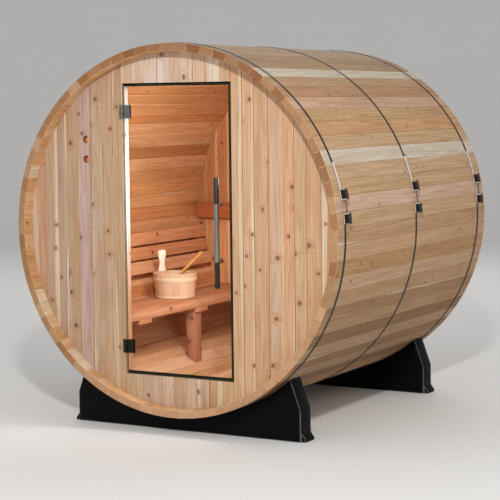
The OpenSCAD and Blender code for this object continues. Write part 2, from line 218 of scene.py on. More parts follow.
def timberFinish(name, look):
    made = Finish(name, gloss=look["gloss"])
    grainMap = made.node("UVMap", {"uv_map": "grain"})
    tint = made.node("Attribute", {"attribute_name": "tint"})
    # knots: one in each of a share of the cells, with a soft halo
    cells = made.node("TexVoronoi", {"voronoi_dimensions": "2D"},
                      {"Vector": grainMap, "Scale": 1 / look["knotCell"], "Randomness": 0.85})
    chance = made.node("SeparateColor", None, {0: cells.out("Color")})
    isKnot = chance.out("Green") < look["knotShare"]
    size = (look["knotSmall"] + chance * (look["knotLarge"] - look["knotSmall"])) / look["knotCell"]
    reach = cells / size
    knot = isKnot * made.ease(reach, 1.15, 0.75)
    core = isKnot * made.ease(reach, 0.55, 0.1)
    halo = isKnot * made.ease(reach, 3.4, 0.8)
    # growth lines flow past the knots
    slow = made.noise(made.stretch(grainMap, (look["figure"], look["figure"] * look["flow"], 1)), 2.0)
    lines = (slow * look["lines"] + halo * 7).calc("SINE", slow * look["lines"] + halo * 7) * 0.5 + 0.5
    growth = lines ** 2.2
    broad = made.noise(made.stretch(grainMap, (26, 1.3, 1)), 2.0)
    narrow = made.noise(made.stretch(grainMap, (190, 2.6, 1)), 3.0)
    fibre = made.noise(made.stretch(grainMap, (950, 14, 1)), 2.0)
    colour = made.mix(growth * look["contrast"], tint, made.shade(tint, look["late"]))
    # pale sapwood along one edge, where the tint's alpha is high
    edge = tint.out("Alpha") + (made.noise(made.stretch(grainMap, (9, 0.9, 1)), 2.0) - 0.5) * 1.1
    colour = made.mix(made.ease(edge, 0.72, 0.86) * 0.75, colour, tone(look["sap"]))
    for mask, by in (
            (made.ease(broad, 0.35, 0.75) * look["streaks"], look["streak"]),
            (made.ease(narrow, 0.45, 0.7) * look["fine"], look["fineTone"]),
            (made.ease(narrow, 0.5, 0.28) * look["fine"], (1.13, 1.12, 1.1)),
            (made.ease(fibre, 0.5, 0.8) * 0.35, (0.84, 0.79, 0.74)),
            (halo * 0.5, (0.86, 0.72, 0.62))):
        colour = made.mix(mask, colour, made.shade(colour, by))
    colour = made.mix(knot * look["knotDepth"], colour, tone(look["knotColour"]))
    colour = made.mix(core * 0.7, colour, tone("3a2417"))
    rough = look["rough"] + fibre * 0.12 - knot * 0.15
    height = fibre * 0.5 - growth * 0.35 - knot * 0.5
    return made.feed(colour=colour, rough=rough, normal=made.bump(height, look["relief"], 0.0006))


def endGrainFinish(name, look):
    made = Finish(name, gloss=look["gloss"])
    grainMap = made.node("UVMap", {"uv_map": "grain"})
    tint = made.node("Attribute", {"attribute_name": "tint"})
    wander = made.noise(made.stretch(grainMap, (40, 40, 1)), 2.0)
    span = made.node("VectorMath", {"operation": "LENGTH"}, {0: grainMap}, "Value")
    rings = span * (6.283 / look["ringPitch"]) + wander * 5
    rings = (rings.calc("SINE", rings) * 0.5 + 0.5) ** 2
    pores = made.noise(made.stretch(grainMap, (900, 900, 1)), 2.0)
    patches = made.noise(made.stretch(grainMap, (18, 18, 1)), 3.0)
    colour = made.mix(rings * 0.5, tint, made.shade(tint, (0.66, 0.54, 0.44)))
    colour = made.mix(made.ease(patches, 0.45, 0.7) * 0.4, colour, made.shade(tint, (0.78, 0.68, 0.6)))
    colour = made.mix(made.ease(pores, 0.5, 0.8) * 0.4, colour, made.shade(colour, (0.7, 0.62, 0.55)))
    return made.feed(colour=colour, rough=look["rough"] + pores * 0.1,
                     normal=made.bump(pores - rings * 0.4, 0.35, 0.0005))


outerLook = {
    "gloss": 0.28, "rough": 0.58, "relief": 0.25, "ringPitch": 0.0032,
    "figure": 10.0, "flow": 0.07, "lines": 70.0, "contrast": 0.34, "late": (0.78, 0.66, 0.54),
    "streaks": 0.8, "streak": (0.86, 0.81, 0.75), "fine": 0.85, "fineTone": (0.80, 0.72, 0.64),
    "sap": "dccdb6", "knotCell": 0.12, "knotShare": 0.24, "knotSmall": 0.004, "knotLarge": 0.009,
    "knotDepth": 0.75, "knotColour": "75493a",
}
innerLook = {**outerLook, "knotShare": 0.4, "knotLarge": 0.012, "knotDepth": 0.85, "knotColour": "713a1e",
             "contrast": 0.5, "late": (0.80, 0.62, 0.46), "fineTone": (0.84, 0.72, 0.60), "sap": "e8b88c"}
paleLook = {**outerLook, "knotShare": 0.0, "contrast": 0.16, "streaks": 0.2, "rough": 0.5, "fine": 0.25,
            "sap": "f3dcc0"}

staveWood = timberFinish("cedarStaves", outerLook)
boardLook = {**outerLook, "knotCell": 0.13, "knotShare": 0.42, "knotSmall": 0.008, "knotLarge": 0.0145,
             "fine": 0.8, "knotDepth": 0.66, "contrast": 0.42}
boardWood = timberFinish("cedarBoards", boardLook)
roomWood = timberFinish("cedarRoom", innerLook)
paleWood = timberFinish("pinePale", paleLook)
endGrain = endGrainFinish("cedarEndGrain", outerLook)
paleEnd = endGrainFinish("pineEndGrain", {**paleLook, "ringPitch": 0.0024})
# long grain and end grain for one piece
boardWoods, roomWoods, paleWoods = [boardWood, endGrain], [roomWood, endGrain], [paleWood, paleEnd]


def metalFinish(name, colour, rough, metal=1.0, wear=0.12, brush=(300, 300, 300)):
    made = Finish(name, metal=metal, gloss=0.5)
    spot = made.spot()
    lines = made.noise(made.stretch(spot, brush), 3.0)
    smudge = made.noise(made.stretch(spot, (30, 30, 30)), 3.0)
    base = made.mix(made.ease(lines, 0.3, 0.7), tone(colour), made.shade(tone(colour), (1 - wear,) * 3))
    return made.feed(colour=base, rough=rough + lines * 0.08 + made.ease(smudge, 0.4, 0.7) * 0.08,
                     normal=made.bump(lines, 0.08, 0.0003))


def mouldedFinish(name, colour, rough, pebble=0.3, gloss=0.3):
    made = Finish(name, gloss=gloss)
    spot = made.spot()
    grit = made.noise(made.stretch(spot, (420, 420, 420)), 3.0)
    haze = made.noise(made.stretch(spot, (6, 6, 6)), 3.0)
    base = made.mix(made.ease(haze, 0.35, 0.75), tone(colour), made.shade(tone(colour), (1.6, 1.55, 1.5)))
    return made.feed(colour=base, rough=rough + grit * 0.12 + haze * 0.1,
                     normal=made.bump(grit, pebble, 0.0005))


hoopSteel = metalFinish("hoopSteel", "2e3238", 0.4, 0.5, brush=(40, 500, 40))
# one strap steel in lit and shaded copies: painted light on the inner and end plates, painted shade on the
# outer face
strapSteelLit = metalFinish("strapSteelLit", "e2ded8", 0.4, 0.4)
# the rod's brown-grey tint is a painted reflection of the wood around it
rodSteelWoodReflection = metalFinish("rodSteelWoodReflection", "8f857c", 0.45, 0.4)
# a bright band end that is a painted highlight
hoopPaintedHighlight = metalFinish("hoopPaintedHighlight", "f2e8e4", 0.4, 0.3, 0.06)
capBronze = metalFinish("capBronze", "8a5a40", 0.5, 0.3)
strapSteelShaded = metalFinish("strapSteelShaded", "4a3c34", 0.5, 0.5)
# black that is painted shade inside the straps
strapShadeBlack = mouldedFinish("strapShadeBlack", "0d0d0e", 0.5, 0.15)
# one hinge steel in two copies: the upper hinge's lighter steel is a painted reflection, the lower hinge's
# darker steel is painted shade
hingeSteelPaintedLight = metalFinish("hingeSteelPaintedLight", "7c7d77", 0.38)
hingeSteelPaintedShade = metalFinish("hingeSteelPaintedShade", "2e2f29", 0.38)
sealBlack = mouldedFinish("sealBlack", "060605", 0.5, 0.12, 0.1)
sealPale = mouldedFinish("sealPale", "8a7460", 0.5, 0.12)
# a pale edge colour that is a painted highlight
cradleEdgeHighlight = mouldedFinish("cradleEdgeHighlight", "4a4d54", 0.35, 0.1, 0.4)
cradlePlastic = mouldedFinish("cradlePlastic", "030304", 0.42, 0.2, 0.1)
print("finishes made")


def newTimber():
    bm = bmesh.new()
    bm.loops.layers.uv.new("grain")
    bm.loops.layers.float_color.new("tint")
    return bm


def paintTimber(bm, along, colour, draw, endColour=None, colourAt=None):
    # lays the grain along one direction; end faces get rings about a pith outside the board
    bm.normal_update()
    grain, tint = bm.loops.layers.uv["grain"], bm.loops.layers.float_color["tint"]
    shift = (draw.uniform(-30, 30), draw.uniform(-30, 30))
    pith = (draw.uniform(-0.05, 0.05), draw.uniform(0.03, 0.10))
    side = along.orthogonal().normalized()
    lift = along.cross(side)
    middle = sum((v.co for v in bm.verts), Vector()) / len(bm.verts)
    for face in bm.faces:
        isEnd = abs(face.normal.dot(along)) > 0.75
        face.material_index = 1 if isEnd else 0
        across = along.cross(face.normal)
        across = across.normalized() if across.length > 0.1 else side
        for loop in face.loops:
            spot = loop.vert.co
            if isEnd:
                loop[grain].uv = ((spot - middle).dot(side) + pith[0], (spot - middle).dot(lift) + pith[1])
                loop[tint] = withSap(endColour or colour)
            else:
                loop[grain].uv = (spot.dot(across) + shift[0], spot.dot(along) + shift[1])
                loop[tint] = colourAt(face, spot) if colourAt else withSap(colour)
    return bm


def join(target, part, place=None):
    # adds one bmesh to another, turned and moved by place
    if place:
        bmesh.ops.transform(part, matrix=place, verts=part.verts)
    carrier = bpy.data.meshes.new("carrier")
    part.to_mesh(carrier)
    part.free()
    target.from_mesh(carrier)
    bpy.data.meshes.remove(carrier)


def faceOutward(bm):
    bmesh.ops.recalc_face_normals(bm, faces=bm.faces[:])


def pushed(bm):
    # doubles a flat shape and gives back the new points
    made = bmesh.ops.extrude_face_region(bm, geom=bm.faces[:])
    return [v for v in made["geom"] if isinstance(v, bmesh.types.BMVert)]


def addDepth(bm, shift):
    # makes a flat shape a solid
    bmesh.ops.translate(bm, vec=shift, verts=pushed(bm))
    faceOutward(bm)


def cutAcross(bm, spot, facing):
    # new edges where a plane crosses the shape, so that a colour can change there
    bmesh.ops.bisect_plane(bm, geom=bm.verts[:] + bm.edges[:] + bm.faces[:], plane_co=spot, plane_no=facing)


def addBlock(bm, middle, size):
    bmesh.ops.create_cube(bm, size=1, matrix=move(middle) @ Matrix.Diagonal((*size, 1)))


def roundEdges(bm, edges, width, segments=2):
    bmesh.ops.bevel(bm, geom=list(edges), offset=width, offset_type="OFFSET", segments=segments,
                    profile=0.5, affect="EDGES", material=-1, clamp_overlap=True)


def sharpEdges(bm, degrees=30):
    return [e for e in bm.edges if e.is_manifold and e.calc_face_angle() > math.radians(degrees)]


def addPlank(target, low, high, along, colour, draw, soft=0.0018, place=None):
    part = newTimber()
    addBlock(part, (low + high) / 2, high - low)
    roundEdges(part, part.edges, soft)
    paintTimber(part, along, colour, draw)
    join(target, part, place)


def setFinish(bm, index):
    for face in bm.faces:
        face.material_index = index


def addObject(name, bm):
    mesh = bpy.data.meshes.new(name)
    bm.to_mesh(mesh)
    bm.free()
    made = bpy.data.objects.new(name, mesh)
    bpy.context.scene.collection.objects.link(made)
    return made


creaseAngle = 32


def makePiece(name, bm, finishes, body, nodes=()):
    bm.normal_update()
    piece = addObject(name, bm)
    for finish in finishes:
        piece.data.materials.append(finish)
    piece.data.shade_smooth()
    piece.data.set_sharp_from_angle(angle=math.radians(creaseAngle))
    if nodes:
        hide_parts(*nodes)
    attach(piece, body)
    return piece


def copyOf(node):
    # a clean copy of a CAD node's mesh, with its flat faces joined up
    bm = bmesh.new()
    bm.from_mesh(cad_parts[node].data)
    bmesh.ops.remove_doubles(bm, verts=bm.verts[:], dist=0.00001)
    bmesh.ops.dissolve_limit(bm, angle_limit=math.radians(0.5), verts=bm.verts[:], edges=bm.edges[:])
    return bm


def softened(name, node, width, finishes, body, segments=2, degrees=30):
    bm = copyOf(node)
    roundEdges(bm, sharpEdges(bm, degrees), width, segments)
    return makePiece(name, bm, finishes, body, [node])


def turned(profile, steps=32):
    # (radius, height) points turned about the upright axis
    bm = bmesh.new()
    verts = [bm.verts.new((r, 0, h)) for r, h in profile]
    edges = [bm.edges.new(pair) for pair in zip(verts, verts[1:])]
    bmesh.ops.spin(bm, geom=verts + edges, cent=(0, 0, 0), axis=(0, 0, 1), dvec=(0, 0, 0),
                   angle=2 * math.pi, steps=steps, use_merge=True)
    bmesh.ops.remove_doubles(bm, verts=bm.verts[:], dist=0.000001)
    faceOutward(bm)
    return bm


def refinish(node, finish):
    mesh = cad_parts[node].data
    mesh.materials.clear()
    mesh.materials.append(finish)


# stretches are in degrees above the right-hand side, with the colour or factors used there
staves = {
    "count": 76, "turn": -2.3, "joint": 0.0002, "groove": 0.0016, "endSoft": 0.0012, "proud": 0.0004,
    "bead": 0.0042, "beadStart": 0.32, "beadEnd": 0.68, "beadSteps": 6, "long": 0.0012, "mouthDeep": 0.01,
    "outer": ["b8946c", "bf9a70", "b28a62", "bc9c78", "b69068", "c09a74", "ad8560"],
    "inner": ["d09e6c", "c8905c", "d8a676", "c28856", "cf9a68", "dcae7e"],
    "rimGrain": ["ac835e", "b38c68", "a2774f", "b99472", "aa7c52", "9b6e4a"],
    "seam": ["f0cca4", "dca878", "a8703e", "e8bc90"],
    "recess": ["d4a878", "d8b088", "cca070", "e2cdb0", "d0a274", "dab48c"],
    "linings": [(-140, -95, (0.94, 1.02, 1.25)), (-180, -140, (0.94, 0.84, 0.8))],
    # shadedRimTop darkens the end grain along the top: painted shade
    "shadedRimTop": (50, 125, (0.82, 0.72, 0.66)), "paleRim": (-125, -20, "cfa480", 0.6),
    "shadeFrom": 5, "shadeOver": 40, "shade": 0.16, "oddReach": 2.4,
}
# the colours of single staves, each at its angle; those from 62 to 80 degrees, along the top, are darkened as
# painted shade
oddStaves = {80: "a88a66", 76: "a28460", 71: "ae8e68", 66: "a4845e", 62: "ae8c68", 57: "d6cab6", 52: "c09c76",
             47: "bd926b", 43: "cdaa8d", 38: "cba57c", 33: "cfa377", 28: "cdab85", 24: "d9ccbb", 19: "ccac8a",
             14: "caa780", 9.6: "d5b29b", 5: "caa882", 0: "bf9a76", -5: "c8a37f", -9: "bd9368", -14: "caa685",
             -19: "c49e78", -24: "b08a62", -28: "bc9872", -33: "a07a54", -38: "c4a27e", -43: "a5805c",
             -47: "bc9a76", -52: "94704e"}


def staveColour(angle, draw):
    near = min(oddStaves, key=lambda spot: abs(spot - angle))
    if abs(near - angle) < staves["oddReach"]:
        return varied(tone(oddStaves[near]), draw, 0.02, 0.01)
    return pickTone(staves["outer"], draw, 0.06, 0.03)


def staveOutline(outer, inner, slope):
    # an end view: the tongue on one side and the cove on the other, between two small grooves
    s = staves
    thick = outer - inner

    def edgeShift(z):
        part = ((outer - z) / thick - 0.5) / (s["beadEnd"] - 0.5)
        return s["bead"] * math.sqrt(max(0, 1 - part * part))

    shares = [s["beadStart"] + (s["beadEnd"] - s["beadStart"]) * k / s["beadSteps"]
              for k in range(s["beadSteps"] + 1)]
    steps = [outer - s["groove"]] + [outer - thick * share for share in shares] + [inner + s["groove"]]

    def sidePoints(side):
        line = [(side * (outer * slope - s["groove"]), outer)]
        line += [(side * (z * slope - s["joint"]) + edgeShift(z), z) for z in steps]
        return line + [(side * (inner * slope - s["groove"]), inner)]

    return sidePoints(1) + sidePoints(-1)[::-1]


def makeStaves():
    draw = random.Random(11)
    half = math.pi / staves["count"]
    slope = math.tan(half)
    outer, inner = shellRadius * math.cos(half), roomRadius
    middle = outer - (outer - inner) * 0.5
    mouthFront, mouthRear = frontLow.y + staves["mouthDeep"], rearHigh.y - staves["mouthDeep"]
    outline = staveOutline(outer, inner, slope)
    whole = newTimber()
    for index in range(staves["count"]):
        angle = 90 + staves["turn"] - math.degrees(2 * half) * (index + 0.5)
        stave = newTimber()
        front = shellLow.y + draw.uniform(0, staves["long"])
        rear = shellHigh.y - draw.uniform(0, staves["long"])
        stave.faces.new([stave.verts.new((x, front, z)) for x, z in outline])
        addDepth(stave, (0, rear - front, 0))
        ends = [e for e in stave.edges if abs(e.verts[0].co.y - e.verts[1].co.y) < 0.001]
        roundEdges(stave, ends, staves["endSoft"], 1)
        cutAcross(stave, (0, mouthFront, 0), (0, 1, 0))
        cutAcross(stave, (0, mouthRear, 0), (0, -1, 0))
        above = (angle + 180) % 360 - 180
        skin = staveColour(above, draw)
        lining = pickTone(staves["inner"], draw, 0.07, 0.04)
        mouth = pickTone(staves["recess"], draw, 0.04, 0.02)
        seam = tone(draw.choice(staves["seam"]))
        for start, end, by in staves["linings"]:
            if start < above < end:
                lining = scaled(lining, by)
        sapSide, sapMuch = draw.choice((-1, 1)), draw.choice((0, 0, 0.4, 0.75))
        shade = 1 - staves["shade"] * clamp((-above - staves["shadeFrom"]) / staves["shadeOver"])
        skin = scaled(skin, (shade, shade, shade))

        def pick(face, spot):
            centre = face.calc_center_median()
            sap = sapMuch * (0.5 + sapSide * spot.x / (2 * outer * slope))
            if centre.z > middle:
                return withSap(skin, sap)
            isMouth = centre.y < mouthFront or centre.y > mouthRear
            if centre.z < inner + staves["groove"] and abs(face.normal.x) > 0.3 and not isMouth:
                return withSap(seam)
            return withSap(mouth if isMouth else lining, sap)

        grain = pickTone(staves["rimGrain"], draw)
        shadeStart, shadeEnd, by = staves["shadedRimTop"]
        paleStart, paleEnd, pale, share = staves["paleRim"]
        # painted shade on the end grain along the top
        if shadeStart < above < shadeEnd:
            grain = scaled(grain, by)
        elif paleStart < above < paleEnd:
            grain = blendTone(grain, tone(pale), share)
        paintTimber(stave, longAxis, skin, draw, grain, pick)
        sink = draw.uniform(0, staves["proud"])
        upright = turn(math.radians(90 - angle), "Y")
        join(whole, stave, move((0, 0, axisZ)) @ upright @ move((0, 0, -sink)))
    makePiece("staves", whole, [staveWood, endGrain], cabin, segmentNodes)


makeStaves()
print("staves made")


walls = {
    "groove": 0.0022, "gap": 0.00015, "rimGap": 0.0004, "arcSteps": 6, "rimSteps": 14, "rimFrom": 0.8,
    "shortEdge": 0.03, "linings": 24, "rearWide": 0.0745, "rearEachSide": 11, "rearEnd": 0.02,
    "leftJoints": [-0.790, -0.709, -0.650, -0.583, -0.504, -0.430, -0.370],
    "rightJoints": [0.372, 0.434, 0.513, 0.590, 0.650, 0.714, 0.792],
    "topJoints": [-0.241, -0.170, -0.102, -0.037, 0.041, 0.101, 0.172, 0.248],
    "leftColours": ["cba284", "c1a287", "b89c86", "bc9d80", "c4a79d", "c1a68e", "c4a486", "c1a07f"],
    "rightColours": ["d3af8c", "d6af8e", "cda886", "d1af93", "d4a884", "cfad8c", "cca684", "cd9e73"],
    "topColours": ["cfb399", "d6bba7", "dbc6bb", "ddc9bd", "cfb39e", "d7bea9", "d6b9a2", "dbc6b6", "d3b599"],
    "footColours": ["c5a88a", "c8ac93", "c6ac98", "d1b6a2", "c4a485", "caae98", "c8ab91", "c2a07b", "c6a882"],
    "rear": ["c49c74", "bd946c", "caa27c", "b88c62", "c6a07a"],
    "rearInner": ["cc9466", "c48a5a", "d4a074", "c08250"], "rail": "c07446", "railSoft": 0.003,
    "hole": 0.019, "holeX": -0.531, "holeZ": [0.349, 0.448], "holeSides": 40, "bore": "a87850",
    # jamb is painted light on the opening's left side, fading to jambLow towards the foot
    "jamb": "fbf6ee", "jambLow": "d9ab8a", "jambCuts": [-0.35, -0.25, -0.15, -0.05, 0.05],
    # grooveOut: the orange colours are dark joints, the pale one is a painted highlight on the groove
    "grooveOut": ["c08c60", "d2a078", "b07c50", "e6d0b2", "c89468"],
    "grooveIn": ["f6dcc0", "eec8a2", "dca878"],
}


def wallBoard(x0, x1, yFace, yBack, foot, top, colours, draw):
    # foot and top are heights, or None where the board follows the staves
    x0, x1 = x0 + walls["gap"], x1 - walls["gap"]
    bm = newTimber()
    atRim = max(abs(x0), abs(x1)) > walls["rimFrom"] * wallRadius
    bmesh.ops.create_grid(bm, x_segments=walls["rimSteps" if atRim else "arcSteps"], y_segments=1, size=0.5)
    a0, a1 = math.asin(x0 / wallRadius), math.asin(x1 / wallRadius)
    for vert in bm.verts:
        x = wallRadius * math.sin(a0 + (a1 - a0) * (vert.co.x + 0.5))
        arc = math.sqrt(max(wallRadius ** 2 - x ** 2, 0))
        if vert.co.y > 0:
            z = axisZ + arc if top is None else top
        else:
            z = axisZ - arc if foot is None else foot
        vert.co = (x, yFace, z)
    addDepth(bm, (0, yBack - yFace, 0))
    arris = [e for e in bm.edges if abs((e.verts[1].co - e.verts[0].co).normalized().z) > 0.999
             and e.calc_length() > walls["shortEdge"]
             and any(abs(e.verts[0].co.x - x) < 0.0001 for x in (x0, x1))]
    roundEdges(bm, arris, walls["groove"], 1)
    inside, outside = colours
    facing = -1 if yFace < 0 else 1
    sapSide, sapMuch = draw.choice((-1, 1)), draw.choice((0, 0.8, 1.0, 1.15))
    grooveOut, grooveIn = tone(draw.choice(walls["grooveOut"])), tone(draw.choice(walls["grooveIn"]))

    def pick(face, spot):
        isOut = face.normal.y * facing > -0.5
        if 0.3 < abs(face.normal.x) < 0.9:
            return withSap(grooveOut if isOut else grooveIn)
        sap = sapMuch * (0.5 + sapSide * (spot.x - (x0 + x1) / 2) / (x1 - x0))
        return withSap(outside if isOut else inside, sap)

    return paintTimber(bm, upAxis, outside, draw, outside, pick)


def cutHoles(bm):
    # two cable holes bored through one board
    board = addObject("boardHoles", bm)
    drills = bmesh.new()
    for z in walls["holeZ"]:
        place = move((walls["holeX"], frontLow.y, axisZ + z)) @ turn(math.pi / 2, "X")
        bmesh.ops.create_cone(drills, cap_ends=True, segments=walls["holeSides"], radius1=walls["hole"],
                              radius2=walls["hole"], depth=0.2, matrix=place)
    drill = addObject("drills", drills)
    boring = board.modifiers.new("boring", "BOOLEAN")
    boring.object, boring.operation, boring.solver = drill, "DIFFERENCE", "EXACT"
    bpy.context.view_layer.update()
    bored = bmesh.new()
    bored.from_mesh(board.evaluated_get(bpy.context.evaluated_depsgraph_get()).to_mesh())
    for used in (board, drill):
        bpy.data.objects.remove(used)
    tint = bored.loops.layers.float_color["tint"]
    bored.normal_update()
    reach = walls["hole"] * 1.05
    for face in bored.faces:
        middle = face.calc_center_median()
        off = min(abs(middle.z - axisZ - z) for z in walls["holeZ"])
        if abs(face.normal.y) < 0.1 and abs(middle.x - walls["holeX"]) < reach and off < reach:
            face.material_index = 1
            for loop in face.loops:
                loop[tint] = withSap(tone(walls["bore"]))
    return bored


def paintLightOnJamb(bm, past):
    # painted light: the opening's left side is painted near white where light falls on it, and warmer towards
    # the foot
    for z in walls["jambCuts"]:
        cutAcross(bm, (0, 0, axisZ + z), (0, 0, 1))
    tint = bm.loops.layers.float_color["tint"]
    start, end = walls["jambCuts"][-1], walls["jambCuts"][0]
    for loop in [loop for face in bm.faces if face.normal.x > 0.7 for loop in face.loops]:
        if loop.vert.co.x > past:
            low = clamp((axisZ + start - loop.vert.co.z) / (start - end))
            loop[tint] = blendTone(tone(walls["jamb"]), tone(walls["jambLow"]), low)


def makeFrontWall():
    draw = random.Random(23)
    lining = [pickTone(walls["rearInner"], draw) for _ in range(walls["linings"])]
    rim = wallRadius - walls["rimGap"]
    left = [-rim] + walls["leftJoints"] + [doorLeft + walls["gap"]]
    right = [doorRight - walls["gap"]] + walls["rightJoints"] + [rim]
    middle = [doorLeft] + walls["topJoints"] + [doorRight]
    for name, node, joints, foot, top, first in (
            ("Left", "left", left, None, None, 0), ("Right", "right", right, None, None, 8),
            ("Top", "top", middle, doorTop, None, 12), ("Foot", "bottom", middle, None, doorFoot, 12)):
        whole = newTimber()
        for k, (x0, x1) in enumerate(zip(joints, joints[1:])):
            skin = varied(tone(walls[name.lower() + "Colours"][k]), draw, 0.02, 0.01)
            bm = wallBoard(x0, x1, frontLow.y, frontHigh.y, foot, top, (lining[first + k], skin), draw)
            if x0 < walls["holeX"] < x1:
                bm = cutHoles(bm)
            if x0 < doorLeft < x1:
                paintLightOnJamb(bm, doorLeft - 0.001)
            join(whole, bm)
        makePiece("wallBoards" + name, whole, boardWoods, cabin, ["front_wall_" + node])


def makeRearWall():
    draw = random.Random(31)
    rim = wallRadius - walls["rimGap"]
    joints = [-rim]
    x = -walls["rearEachSide"] * walls["rearWide"]
    while x < rim - walls["rearEnd"]:
        joints.append(x)
        x += walls["rearWide"]
    joints.append(rim)
    whole = newTimber()
    for x0, x1 in zip(joints, joints[1:]):
        skin = pickTone(walls["rear"], draw)
        lining = pickTone(walls["rearInner"], draw)
        join(whole, wallBoard(x0, x1, rearHigh.y, rearLow.y, None, None, (lining, skin), draw))
    makePiece("rearBoards", whole, roomWoods, cabin, ["rear_wall"])
    low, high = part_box("rear_wall_rail")
    reach = math.sqrt(wallRadius ** 2 - max(abs(low.z - axisZ), abs(high.z - axisZ)) ** 2)
    rail = newTimber()
    addPlank(rail, Vector((-reach, low.y, low.z)), Vector((reach, high.y, high.z)), crossAxis,
             tone(walls["rail"]), draw, walls["railSoft"])
    makePiece("rearRail", rail, roomWoods, cabin, ["rear_wall_rail"])


makeFrontWall()
makeRearWall()
print("end walls made")


# the seal's lip lies between lipFrom and lipTo from the opening's right-hand side
doorway = {"frameColour": "d2a27c", "soft": 0.002, "lip": 0.006, "lipFrom": 0.017, "lipTo": 0.013,
           "lipEnds": 0.01, "sealSoft": 0.0012, "paleDeep": 0.0055}


def makeDoorway():
    draw = random.Random(41)
    for side, along in (("left", upAxis), ("right", upAxis), ("top", crossAxis), ("bottom", crossAxis)):
        low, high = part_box("door_frame_" + side)
        bm = newTimber()
        addPlank(bm, low, high, along, varied(tone(doorway["frameColour"]), draw), draw, doorway["soft"])
        if side == "left":
            paintLightOnJamb(bm, low.x)
        makePiece("frameBoard" + side.capitalize(), bm, roomWoods, cabin,
                  ["door_frame_" + side])
    seal = copyOf("door_stops")
    half = (doorTop - doorFoot) / 2 - doorway["lipEnds"]
    for vert in seal.verts:
        # the closing side's seal has a lip that laps further over the glass
        if doorway["lipTo"] < doorRight - vert.co.x < doorway["lipFrom"] and abs(vert.co.z - axisZ) < half:
            vert.co.x -= doorway["lip"]
    roundEdges(seal, sharpEdges(seal), doorway["sealSoft"])
    stops = makePiece("doorStops", seal, [sealBlack, sealPale], cabin, ["door_stops"])
    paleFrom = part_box("door_glass")[1].y + doorway["paleDeep"]
    for face in stops.data.polygons:
        # the faces close behind the glass are pale
        face.material_index = 1 if face.center.y < paleFrom else 0


makeDoorway()


hinges = {"leafSoft": 0.0006, "soft": 0.0012, "screw": 0.0042, "screwHigh": 0.0008, "screwDeep": 0.001,
          "screwInset": 0.014, "proud": 0.004}
handle = {"radius": 0.0125, "post": 0.0055, "postInset": 0.012, "collar": 0.0075, "collarHigh": 0.003,
          "collarSoft": 0.001, "steel": 0.140, "endSoft": 0.003, "capSoft": 0.001}
glass = {"rimFrom": 0.0025, "rimTo": 0.001, "colour": "1c2420", "rim": "4c5238",
         "seen": 0.035, "rimSeen": 0.6}


def glassFinish():
    made = Finish("doorGlass", rough=0.03, gloss=0.2, bend=1.5)
    spot = made.node("SeparateXYZ", None, {0: made.spot()})
    low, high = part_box("door_glass")
    middle, half = (low + high) / 2, (high - low) / 2
    aside, above = (made.ease(abs(place - centre), reach - glass["rimFrom"], reach - glass["rimTo"])
                    for place, centre, reach in ((spot, middle.x, half.x), (spot.out("Z"), middle.z, half.z)))
    rim = aside.calc("MAXIMUM", aside, above)
    colour = made.mix(rim, tone(glass["colour"]), tone(glass["rim"]))
    return made.feed(colour=colour, alpha=glass["seen"] + rim * glass["rimSeen"])


def darkEndedTubeFinish(middle, rodFace):
    # a steel tube with dark ends
    made = Finish("handleSteel", gloss=0.5)
    spot = made.node("SeparateXYZ", None, {0: made.spot()})
    lines = made.noise(made.stretch(made.spot(), (300, 300, 8)), 3.0)
    # the ends past the steel length are black and not metal
    grip = made.ease(abs(spot.out("Z") - middle), handle["steel"] - 0.001, handle["steel"] + 0.001)
    grip = grip * (spot.out("Y") < rodFace)
    steel = made.mix(lines, tone("9aa19e"), tone("848a88"))
    return made.feed(colour=made.mix(grip, steel, tone("101110")), metal=1 - grip,
                     rough=0.26 + grip * 0.1 + lines * 0.08)


def makeHinge(name, node, steel):
    h = hinges
    softened("hingeLeaf" + name, "hinge_leaf_" + node, h["leafSoft"], [steel], cabin)
    softened("hingeClamp" + name, "hinge_clamp_" + node, h["soft"], [steel], door)
    low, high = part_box("hinge_clamp_" + node)
    screws = bmesh.new()
    for z in (low.z + h["screwInset"], high.z - h["screwInset"]):
        head = turned([(0, h["screwHigh"]), (h["screw"] * 0.8, h["screwHigh"]), (h["screw"], 0),
                       (h["screw"], -h["screwDeep"]), (0, -h["screwDeep"])], 20)
        place = move((high.x - h["screwInset"], frontLow.y - h["proud"], z))
        join(screws, head, place @ turn(math.pi / 2, "X"))
    makePiece("clampScrews" + name, screws, [steel], door)


def makeHandle():
    low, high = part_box("door_handle")
    r, soft = handle["radius"], handle["endSoft"]
    x, y = (low.x + high.x) / 2, low.y + r
    start = [(0, low.z), (r - soft, low.z), (r - 0.3 * soft, low.z + 0.3 * soft), (r, low.z + soft)]
    end = [(r, high.z - soft), (r - 0.3 * soft, high.z - 0.3 * soft), (r - soft, high.z), (0, high.z)]
    tube = turned(start + end, 48)
    bmesh.ops.translate(tube, vec=(x, y, 0), verts=tube.verts)
    capLow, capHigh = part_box("handle_caps")
    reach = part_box("door_glass")[0].y - y
    collar, shoulder, edge = handle["collar"], reach - handle["collarHigh"], handle["collarSoft"]
    for z in (capLow.z + handle["postInset"], capHigh.z - handle["postInset"]):
        post = turned([(0, 0), (handle["post"], 0), (handle["post"], shoulder), (collar - edge, shoulder),
                       (collar, shoulder + edge), (collar, reach), (0, reach)])
        setFinish(post, 1)
        join(tube, post, move((x, y, z)) @ turn(-math.pi / 2, "X"))
    finish = darkEndedTubeFinish((low.z + high.z) / 2, y + r + 0.0005)
    makePiece("doorHandle", tube, [finish, capBronze], door, ["door_handle"])
    softened("handleCaps", "handle_caps", handle["capSoft"], [capBronze], door)


